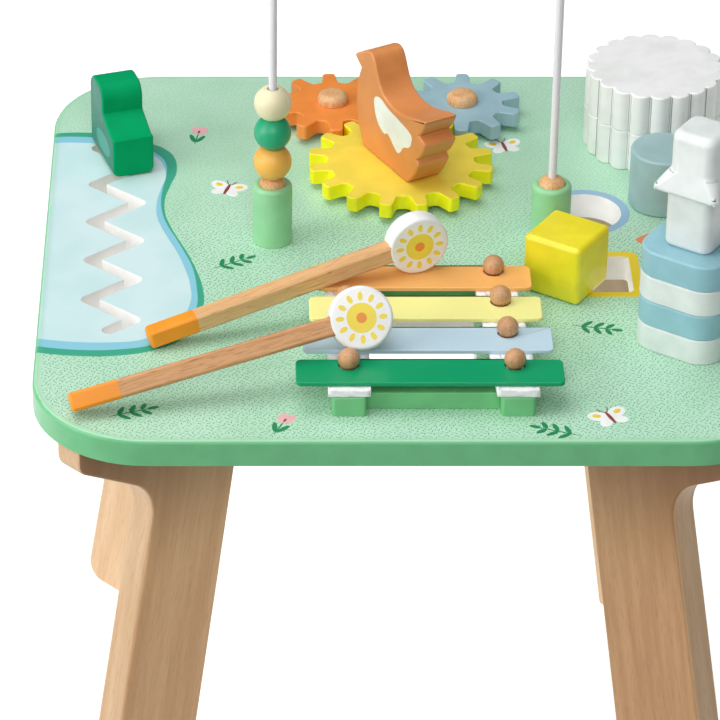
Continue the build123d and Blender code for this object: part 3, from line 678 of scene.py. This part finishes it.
def dress(node, finishes, width=0.0, mesh=None):
    """Finished copy of a node: welded, painted, softened, and moving with the node's body."""
    piece = new_mesh_object(f"{node}_finished", mesh or welded(node), SMOOTH_ANGLE)
    for finish in finishes:
        piece.data.materials.append(finish)
    if width:
        round_edges(piece, width)
    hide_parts(node)
    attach(piece, body_of[node])
    return piece


def even_shading(piece):
    piece.modifiers.new("even_shading", "WEIGHTED_NORMAL").keep_sharp = True


# %% [markdown]
# ## The board
# One copy of the board carries three finishes. Faces that look up get the print, the walls
# of the holes and of the track are white, and the rim and the underside are plain green. The
# outer edge is round in the model, so only the mouths of the holes get a small bevel here.

# %% The board
WALL_INSET = 3.0 * MM
MOUTH_ROUND = 0.5 * MM
LOOKS_UP = 0.3
UPRIGHT = 0.5
PRINT, WALL, EDGE = range(3)
top_print = printed_top("meadow_print")
wall_white = paint("hole_wall_white", screen(246, 246, 244))
rim_green = paint("rim_green", RIM_GREEN, 0.36)


def inside_board(point):
    """Whether a place lies inside the board's outer wall."""
    aside = max(0.0, abs(point.x) - BOARD_CORE[1])
    ahead = max(0.0, abs(point.y) - BOARD_CORE[2])
    return Vector((aside, ahead)).length < BOARD_CORNER - WALL_INSET


def board_finish(face):
    middle = face.calc_center_median()
    if face.normal.z > LOOKS_UP and middle.z > TOP - WALL_INSET:
        return PRINT
    if abs(face.normal.z) < UPRIGHT and inside_board(middle):
        return WALL
    return EDGE


def mouth_of_hole(edge):
    middle = (edge.verts[0].co + edge.verts[1].co) / 2
    sharp = len(edge.link_faces) == 2 and edge.calc_face_angle() > radians(BEVEL_ANGLE)
    return sharp and inside_board(middle) and middle.z > TOP - MOUTH_ROUND


board = welded("table_top")
for face in board.faces:
    face.material_index = board_finish(face)
mouths = [edge for edge in board.edges if mouth_of_hole(edge)]
bmesh.ops.bevel(
    board, geom=mouths, offset=MOUTH_ROUND, offset_type="OFFSET", segments=3, profile=0.5,
    affect="EDGES", clamp_overlap=True, material=-1)
even_shading(dress("table_top", [top_print, wall_white, rim_green], mesh=board))
print(len(mouths), "edges round the holes softened")

# %% [markdown]
# ## Legs and fixings
# Each leg is a plate of beech that leans out along its diagonal, so the grain of each one
# runs its own way. The broad faces of the front legs get warmer, darker wood than the sawn
# edges, painted shade for faces in shadow, and a painted shadow that deepens towards the board.

# %% Legs and fixings
LEG_LEAN = radians(11.5)
LEG_EDGE = 1.0 * MM
LEG_FLECK = (FLECK_WIDTH, 14.0, 0.3)
EDGE_WOOD = (screen(226, 192, 154), screen(214, 175, 133), screen(180, 134, 92))
# Painted shade: the front legs' broad faces, which lie in shadow, get warmer, darker copies of
# the edge wood.
SHADED_BROAD_WOODS = {
    "leg_front_left": (screen(244, 194, 146), screen(230, 176, 126), screen(188, 134, 88)),
    "leg_front_right": (screen(204, 158, 114), screen(190, 142, 98), screen(150, 103, 65))}
BROAD_FACING = 0.7
BOARD_SHADE_SHARE = 0.8
FIXING_EDGE = 0.3 * MM


def leg(name, inward):
    """One leg, with painted shade on the broad faces of the front legs."""
    grain = inward * sin(LEG_LEAN) + Vector((0, 0, cos(LEG_LEAN)))
    across = Vector((-inward.y, inward.x, 0))
    mesh = welded(name)
    for face in mesh.faces:
        face.material_index = int(abs(face.normal.dot(across)) > BROAD_FACING)
    broad = SHADED_BROAD_WOODS.get(name, EDGE_WOOD)
    board_shade = BOARD_SHADE_SHARE if name in SHADED_BROAD_WOODS else 0.0
    woods = [
        beech(f"{name}_edge", grain, *EDGE_WOOD, *LEG_FLECK),
        beech(f"{name}_broad", grain, *broad, *LEG_FLECK, board_shade)]
    dress(name, woods, LEG_EDGE, mesh)


for y_name, y_side in (("front", -1), ("rear", 1)):
    for x_name, x_side in (("left", -1), ("right", 1)):
        leg(f"leg_{y_name}_{x_name}", Vector((-x_side, -y_side, 0)).normalized())
zinc = bare_metal("zinc", (0.62, 0.63, 0.64, 1.0), 0.32)
brass = bare_metal("brass", (0.78, 0.6, 0.28, 1.0), 0.3)
for name in ("leg_bolts", "rail_screws", "peg_screws"):
    dress(name, [zinc], FIXING_EDGE)
dress("insert_nuts", [brass], FIXING_EDGE)
print("legs and fixings finished")

# %% [markdown]
# ## Glockenspiel
# Sage green rails and cross pieces carry two strips of felt, and the bars lie on the felt.
# The pins are brown wooden balls on stems.

# %% Glockenspiel
RAIL_EDGE = 0.4 * MM
BAR_EDGE = 0.6 * MM
BAR_COLOURS = {
    "green": screen(0, 160, 104), "blue": screen(198, 224, 237),
    "yellow": screen(255, 250, 160), "orange": screen(254, 188, 108)}
PIN_WOOD = (screen(216, 168, 124), screen(202, 150, 104), screen(168, 116, 74))
sage = paint("sage_green", screen(120, 200, 136), 0.4)
for name in ("chime_rail_left", "chime_rail_right", "chime_cross_front", "chime_cross_rear"):
    dress(name, [sage], RAIL_EDGE)
for name, colour in BAR_COLOURS.items():
    even_shading(dress(f"chime_bar_{name}", [enamel(f"{name}_enamel", colour)], BAR_EDGE))
dress("bar_pins", [beech("pin_wood", (0, 0, 1), *PIN_WOOD)])
print(len(BAR_COLOURS), "bars on their rails")

# %% [markdown]
# ## Felt
# The strips are cut from thick wool felt. Each one is a subdivided strip whose skin is
# pushed about a little, and short loose fibres stand out of its cut edges.

# %% Felt
FELT_STEP = 1.5 * MM
FELT_CUTS = 3
FELT_RUFFLE = 0.35 * MM
FELT_OVERHANG = 6.2 * MM
FELT_SMOOTH_ANGLE = 60
FIBRE_COUNT = 900
FIBRE_RADIUS = 0.07 * MM
FIBRE_LENGTHS = (0.5 * MM, 1.1 * MM)
FIBRE_LEANS = ((-1, 1), (-1, 1), (-0.3, 0.6))
FIBRE_SLANT = 0.8
FIBRE_CENTRE = 0.4
wool = felt_wool("white_wool")


def fibres(name, roots, chance, body):
    """Short thin hairs, each at its own slant."""
    mesh = bmesh.new()
    for root, out in roots:
        lean = Vector([chance.uniform(*limits) for limits in FIBRE_LEANS])
        along = (out + lean * FIBRE_SLANT).normalized()
        reach = chance.uniform(*FIBRE_LENGTHS)
        turn = along.to_track_quat("Z", "Y").to_matrix().to_4x4()
        bmesh.ops.create_cone(
            mesh, cap_ends=True, segments=3, radius1=FIBRE_RADIUS, radius2=FIBRE_RADIUS / 3,
            depth=reach, matrix=Matrix.Translation(root + along * reach * FIBRE_CENTRE) @ turn)
    piece = new_mesh_object(name, mesh)
    piece.data.materials.append(wool)
    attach(piece, body)


def felt_strip(node, seed):
    """Felt strip in the place of its node, drawn forward to the end of the rail."""
    chance = random.Random(seed)
    mesh = welded(node)
    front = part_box(node)[0].y
    ends = [vert for vert in mesh.verts if vert.co.y < front + FELT_STEP]
    bmesh.ops.translate(mesh, verts=ends, vec=(0, -FELT_OVERHANG, 0))
    bmesh.ops.triangulate(mesh, faces=mesh.faces)
    for _ in range(FELT_CUTS):
        long_edges = [edge for edge in mesh.edges if edge.calc_length() > 2 * FELT_STEP]
        bmesh.ops.subdivide_edges(mesh, edges=long_edges, cuts=1)
        bmesh.ops.triangulate(mesh, faces=mesh.faces)
    mesh.normal_update()
    roots = [(vert.co.copy(), vert.normal.copy()) for vert in mesh.verts]
    for vert in mesh.verts:
        vert.co -= vert.normal * chance.uniform(0.0, FELT_RUFFLE)
    fibres(f"{node}_fibres", chance.choices(roots, k=FIBRE_COUNT), chance, body_of[node])
    piece = new_mesh_object(f"{node}_wool", mesh, FELT_SMOOTH_ANGLE)
    piece.data.materials.append(wool)
    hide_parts(node)
    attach(piece, body_of[node])


for seed, name in enumerate(("felt_strip_left", "felt_strip_right")):
    felt_strip(name, seed)
print(FIBRE_COUNT, "fibres on each strip of felt")

# %% [markdown]
# ## Mallets
# A mallet is a square beech handle with its tail dipped in orange paint, and a flat round
# head painted white. The handle's direction is read from the model: from the middle of the
# handle to the middle of the head. A cut across the handle parts paint from bare wood.

# %% Mallets
GRIP_LENGTHS = {"front": 26.5 * MM, "rear": 27.6 * MM}
GRIP_ROUND = 2.6 * MM
HANDLE_EDGE = 0.6 * MM
HANDLE_FLECK = (0.4 * MM, 20.0, 0.65)
HANDLE_WOODS = {
    "front": (screen(222, 166, 114), screen(208, 150, 98), screen(154, 98, 58)),
    "rear": (screen(236, 190, 138), screen(226, 174, 116), screen(178, 120, 72))}
grip_orange = paint("grip_orange", screen(253, 154, 32), 0.4, 0.35)
head_white = paint("head_white", screen(250, 250, 248), 0.36)


def middle_of(node):
    low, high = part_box(node)
    return (low + high) / 2


def at_tail(edge, grain, limit):
    return all(vert.co.dot(grain) < limit for vert in edge.verts)


def mallet_handle(name):
    node = f"mallet_handle_{name}"
    grain = (middle_of(f"mallet_head_{name}") - middle_of(node)).normalized()
    mesh = welded(node)
    tail = min(vert.co.dot(grain) for vert in mesh.verts)
    grip_end = tail + GRIP_LENGTHS[name]
    butt = [edge for edge in mesh.edges if at_tail(edge, grain, tail + GRIP_ROUND / 2)]
    bmesh.ops.bevel(
        mesh, geom=butt, offset=GRIP_ROUND, offset_type="OFFSET", segments=4, profile=0.5,
        affect="EDGES", clamp_overlap=True, material=-1)
    geometry = mesh.verts[:] + mesh.edges[:] + mesh.faces[:]
    bmesh.ops.bisect_plane(mesh, geom=geometry, plane_co=grain * grip_end, plane_no=grain)
    for face in mesh.faces:
        face.material_index = int(face.calc_center_median().dot(grain) < grip_end)
    wood = beech(f"{node}_beech", grain, *HANDLE_WOODS[name], *HANDLE_FLECK)
    dress(node, [wood, grip_orange], HANDLE_EDGE, mesh)


for name in GRIP_LENGTHS:
    mallet_handle(name)
    dress(f"mallet_head_{name}", [head_white])
print(len(GRIP_LENGTHS), "mallets finished")

# %% [markdown]
# ## Paints of the toys
# Each paint has a colour and, where the surface is not the usual satin, a roughness and a
# shine of its own.

# %% Paints of the toys
TURNED_WOOD = (screen(240, 194, 142), screen(228, 174, 118), screen(178, 120, 72))
yellow = paint("gear_yellow", screen(246, 222, 78))
# Painted light: a brighter yellow for the driver gear's upright faces, as if lit from the
# front.
lit_side_yellow = paint("lit_side_yellow", screen(255, 244, 24), 0.45, 0.25)
orange = paint("bright_orange", screen(246, 146, 62))
pale_orange = paint("bird_orange", screen(228, 146, 82))
grey_blue = paint("grey_blue", screen(160, 194, 206))
deep_green = paint("deep_green", screen(0, 158, 97), 0.6, 0.05)
flank_teal = paint("flank_teal", screen(58, 130, 110), 0.5, 0.2)
peg_green = paint("peg_green", screen(152, 214, 160), 0.4)
bead_orange = paint("bead_orange", screen(255, 188, 84))
bead_green = paint("bead_green", screen(34, 172, 122))
cream = paint("cream", screen(240, 230, 190))
lemon = paint("lemon", screen(250, 233, 40), 0.38, 0.6)
slate_blue = paint("slate_blue", screen(164, 196, 198))
tower_white = paint("tower_white", screen(232, 238, 236))
disc_white = paint("disc_white", screen(250, 252, 250))
tower_blue = paint("tower_blue", screen(152, 200, 212))
wire_white = enamel("wire_white", screen(240, 239, 246))
turned_beech = beech("upright_beech", (0, 0, 1), *TURNED_WOOD)
print("paints of the toys mixed")

# %% [markdown]
# ## Gears, arch, slider and blocks
# Most toys differ only in their paint and in how far their edges are rounded, so one table
# gives both. The slider's flanks are a darker, greyer teal than its front. The driver gear's
# upright faces, its teeth, get a brighter yellow than its flat faces: painted light.

# %% Gears, arch, slider and blocks
# A row holds the paint and the rounding of the edges in millimetres.
TOYS = {
    "gear_orange": (orange, 0.8), "gear_blue": (grey_blue, 0.8),
    "gear_axle_yellow": (turned_beech, 0.4), "gear_axle_orange": (turned_beech, 0.4),
    "gear_axle_blue": (turned_beech, 0.4), "gear_keeper_yellow": (turned_beech, 0.5),
    "gear_keeper_orange": (turned_beech, 0.5), "gear_keeper_blue": (turned_beech, 0.5),
    "gear_spacers": (turned_beech, 0.3), "bird_figure": (pale_orange, 1.4),
    "arch_peg_left": (peg_green, 0.4), "arch_peg_right": (peg_green, 0.4),
    "arch_plugs": (turned_beech, 0.0), "arch_wire": (wire_white, 0.0),
    "bead_orange": (bead_orange, 0.6), "bead_green": (bead_green, 0.6),
    "bead_cream": (cream, 0.6), "slider_stem": (turned_beech, 0.4),
    "slider_runner": (turned_beech, 0.5), "block_cube": (lemon, 0.0),
    "block_cylinder": (slate_blue, 0.0), "block_prism": (orange, 1.4),
    "tower_lower_white": (tower_white, 0.8), "tower_lower_blue": (tower_blue, 0.8),
    "tower_upper_white": (tower_white, 0.8), "tower_upper_blue": (tower_blue, 0.8),
    "tower_column": (tower_white, 1.2), "tower_roof": (tower_white, 1.8),
    "tower_peg": (turned_beech, 0.0), "scallop_disc_lower": (disc_white, 1.0),
    "scallop_disc_upper": (disc_white, 1.0), "scallop_peg": (turned_beech, 0.0)}
SLIDER_TURN = 108
SLIDER_EDGE = 1.4 * MM
FLANK_FACING = 0.9
GEAR_EDGE = 0.8 * MM
for name, (finish, width) in TOYS.items():
    dress(name, [finish], width * MM)
slider = welded("slider_figure")
flank = Vector((sin(radians(SLIDER_TURN)), -cos(radians(SLIDER_TURN)), 0))
for face in slider.faces:
    face.material_index = int(abs(face.normal.dot(flank)) > FLANK_FACING)
dress("slider_figure", [deep_green, flank_teal], SLIDER_EDGE, slider)
# Painted light on the driver gear: its upright faces take the brighter yellow.
driver = welded("gear_yellow")
for face in driver.faces:
    face.material_index = int(abs(face.normal.z) < UPRIGHT)
dress("gear_yellow", [yellow, lit_side_yellow], GEAR_EDGE, driver)
print(len(TOYS) + 2, "toy pieces finished")

# %% [markdown]
# ## Ink
# Motifs are thin skins of ink, made of ovals. An oval is a flat cylinder that is stretched,
# turned and moved into place. Ovals that cross lie at heights of their own, so that no two
# skins share a face.

# %% Ink
INK_THICK = 0.06 * MM
INK_SUNK = 0.03 * MM
INK_STEP = 0.02 * MM
OVAL_SIDES = 28


def oval(mesh, base, long, wide, turn, layer=0):
    """Flat oval, its sizes in millimetres, on the ground of a base matrix."""
    shape = Matrix.Translation((0, 0, INK_THICK / 2 - INK_SUNK + layer * INK_STEP))
    shape = shape @ Matrix.Rotation(radians(turn), 4, "Z")
    shape = shape @ Matrix.Diagonal((long * MM, wide * MM, INK_THICK, 1))
    bmesh.ops.create_cone(
        mesh, cap_ends=True, segments=OVAL_SIDES, radius1=0.5, radius2=0.5, depth=1.0,
        matrix=base @ shape)


def beside(base, x, y):
    return base @ Matrix.Translation((x * MM, y * MM, 0))


def print_piece(name, mesh, finish, node):
    """Ink of one colour that moves with a node."""
    piece = new_mesh_object(name, mesh, SMOOTH_ANGLE)
    piece.data.materials.append(finish)
    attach(piece, body_of[node])


# %% [markdown]
# ## Motifs on the board
# Butterflies, tulips and sprigs of leaves are drawn once, as groups of ovals in millimetres,
# and laid at several places. A group is drawn once, or on both sides of the motif's middle
# line. All ovals of one colour go into one piece.

# %% Motifs on the board
ONCE = ((1, 1),)
LEFT_RIGHT = ((-1, 1), (1, 1))
BELOW_ABOVE = ((1, -1), (1, 1))
# A row holds the ink, the place along X and Y, the length, the width and the turn in degrees.
BUTTERFLY = (
    (LEFT_RIGHT, (("white", 5.4, 3.6, 11.5, 8.4, 32), ("white", 4.2, -3.4, 8.0, 6.2, -38))),
    (LEFT_RIGHT, (("yellow", 6.0, 4.2, 4.6, 3.2, 32), ("maroon", 2.0, 7.6, 5.0, 0.6, 62))),
    (ONCE, (("maroon", 0.0, 0.0, 2.0, 12.0, 0),)))
TULIP = (
    (ONCE, (("green", -6.5, 0.0, 13.0, 0.9, 0),)),
    (BELOW_ABOVE, (("green", -6.5, 2.4, 9.0, 2.8, 24), ("pink", 3.4, 2.2, 9.0, 4.6, 12))),
    (ONCE, (("pink", 3.0, 0.0, 8.6, 4.4, 0), ("maroon", 1.4, 0.0, 3.4, 1.4, 0))))
SPRIG = (
    (ONCE, (("green", 0.0, 0.0, 24.0, 0.9, 0),)),
    (BELOW_ABOVE, (("green", -4.3, 3.0, 8.0, 2.7, 52),)),
    (BELOW_ABOVE, (("green", 2.2, 3.0, 7.4, 2.7, 52),)),
    (BELOW_ABOVE, (("green", 8.2, 3.0, 6.2, 2.7, 52),)),
    (ONCE, (("green", 12.5, 0.0, 6.0, 2.6, 0),)))
# A place on the board is given by X and Y in millimetres and a turn in degrees.
PLACES = (
    (BUTTERFLY, ((100, -177, 24), (-101, 62, -18), (60, 112, 12))),
    (TULIP, ((-70, -181, 66), (176, -150, 100), (-118, 128, 80))),
    (SPRIG, ((-150, -172, 20), (98, -88, -12), (-98, -20, 30), (72, -190, 160))))
INKS = {
    "white": screen(248, 250, 248), "maroon": screen(150, 62, 60),
    "yellow": screen(250, 208, 60), "pink": screen(244, 186, 190), "green": screen(20, 140, 86)}
INK_ROUGHNESS = 0.46
ink_meshes = {name: bmesh.new() for name in INKS}


def on_board(x, y, turn):
    return Matrix.Translation((x * MM, y * MM, TOP)) @ Matrix.Rotation(radians(turn), 4, "Z")


def draw(motif, base):
    layer = count()
    for sides, rows in motif:
        for flip_x, flip_y in sides:
            for ink, x, y, long, wide, turn in rows:
                spot = beside(base, flip_x * x, flip_y * y)
                oval(ink_meshes[ink], spot, long, wide, flip_x * flip_y * turn, next(layer))


for motif, places in PLACES:
    for place in places:
        draw(motif, on_board(*place))
for name, colour in INKS.items():
    finish = paint(f"{name}_ink", colour, INK_ROUGHNESS)
    print_piece(f"{name}_motifs", ink_meshes[name], finish, "table_top")
print(sum(len(places) for motif, places in PLACES), "motifs in", len(INKS), "colours")

# %% [markdown]
# ## Wing and spot
# The bird has a white wing on each flank and the slider a lighter spot. The wing is a smooth
# closed line through a few points, filled and made solid; the spot is an oval. Both are
# drawn on a frame that stands upright on the flank.

# %% Wing and spot
WING_POINTS = (
    (3.0, 22.7), (-3.4, 19.5), (-7.8, 21.1), (-16.9, 14.7), (-21.2, 15.8), (-24.6, 20.5),
    (-30.6, 23.5), (-33.1, 27.8), (-32.0, 32.9), (-17.9, 35.8), (-8.1, 37.2), (2.0, 40.0),
    (8.0, 37.0), (7.0, 29.0))
WING_STEPS = 5
BIRD_TURN = 119
BIRD_BASE = Vector((-4.1, 78.0, 362.5)) * MM
BIRD_HALF = 10.5 * MM
SLIDER_BASE = Vector((-161.0, 97.34, 350.5)) * MM
SLIDER_HALF = 12.2 * MM
SPOT_PLACE = (0.5, 13)
SPOT_SIZE = (28, 12.5)


def side_frame(middle, turn, half):
    """Frame on an upright flank: X along it, Y up, Z straight out of it."""
    along = Vector((cos(radians(turn)), sin(radians(turn)), 0))
    up = Vector((0, 0, 1))
    out = along.cross(up)
    axes = Matrix((along, up, out)).transposed().to_4x4()
    return Matrix.Translation(middle + out * half) @ axes


def smooth_loop(points):
    """Points on a smooth closed line through the given ones."""
    loop = []
    for number, point in enumerate(points):
        ahead = points[(number + 1) % len(points)]
        past = points[(number + 2) % len(points)]
        start = point + (ahead - points[number - 1]) / 6
        end = ahead - (past - point) / 6
        loop += interpolate_bezier(point, start, end, ahead, WING_STEPS + 1)[:-1]
    return loop


def wing(mesh, base):
    outline = smooth_loop([Vector((x, y, 0)) * MM for x, y in WING_POINTS])
    verts = [mesh.verts.new(base @ (point - Vector((0, 0, INK_SUNK)))) for point in outline]
    sheet = mesh.faces.new(verts)
    grown = bmesh.ops.extrude_face_region(mesh, geom=[sheet])["geom"]
    moved = [item for item in grown if isinstance(item, bmesh.types.BMVert)]
    bmesh.ops.translate(mesh, verts=moved, vec=base.to_3x3() @ Vector((0, 0, INK_THICK)))
    bmesh.ops.recalc_face_normals(mesh, faces=mesh.faces)


wings = bmesh.new()
spots = bmesh.new()
for half_turn, mirror in ((0, 1), (180, -1)):
    bird_side = side_frame(BIRD_BASE, BIRD_TURN + half_turn, BIRD_HALF)
    wing(wings, bird_side @ Matrix.Diagonal((mirror, 1, 1, 1)))
    slider_side = side_frame(SLIDER_BASE, SLIDER_TURN + half_turn, SLIDER_HALF)
    oval(spots, beside(slider_side, *SPOT_PLACE), *SPOT_SIZE, 0)
white_ink = paint("toy_white_ink", screen(246, 247, 244), 0.4)
spot_ink = paint("spot_ink", screen(66, 156, 138), 0.5)
print_piece("bird_wings", wings, white_ink, "bird_figure")
print_piece("slider_spots", spots, spot_ink, "slider_figure")
print("wing and spot printed on both flanks")

# %% [markdown]
# ## Suns
# Each mallet head has a plain sun on both of its flat faces: a disc, a ring of rays and a
# darker core. The direction that the head faces is read from its largest face.

# %% Suns
SUN_SIZE = 16
CORE_SIZE = 5.6
RAY_COUNT = 12
RAY_PLACE = 11.4
RAY_SIZE = (4.6, 2.7)
SUN_YELLOW = screen(254, 226, 76)
CORE_ORANGE = screen(246, 150, 60)


def head_facing(node):
    """Direction that a head faces, and half its thickness."""
    mesh = welded(node)
    facing = max(mesh.faces, key=lambda face: face.calc_area()).normal.copy()
    reaches = [vert.co.dot(facing) for vert in mesh.verts]
    mesh.free()
    return facing, (max(reaches) - min(reaches)) / 2


def suns(node):
    facing, half = head_facing(node)
    sun = bmesh.new()
    core = bmesh.new()
    for side in (-1, 1):
        turn = (facing * side).to_track_quat("Z", "Y").to_matrix().to_4x4()
        base = Matrix.Translation(middle_of(node) + facing * side * half) @ turn
        oval(sun, base, SUN_SIZE, SUN_SIZE, 0)
        for ray in range(RAY_COUNT):
            spoke = base @ Matrix.Rotation(radians(360 / RAY_COUNT * ray), 4, "Z")
            oval(sun, beside(spoke, RAY_PLACE, 0), *RAY_SIZE, 0)
        oval(core, base, CORE_SIZE, CORE_SIZE, 0, 1)
    print_piece(f"{node}_sun", sun, paint(f"{node}_sun_ink", SUN_YELLOW, 0.4), node)
    print_piece(f"{node}_core", core, paint(f"{node}_core_ink", CORE_ORANGE, 0.4), node)


for name in GRIP_LENGTHS:
    suns(f"mallet_head_{name}")
print("suns with", RAY_COUNT, "rays")
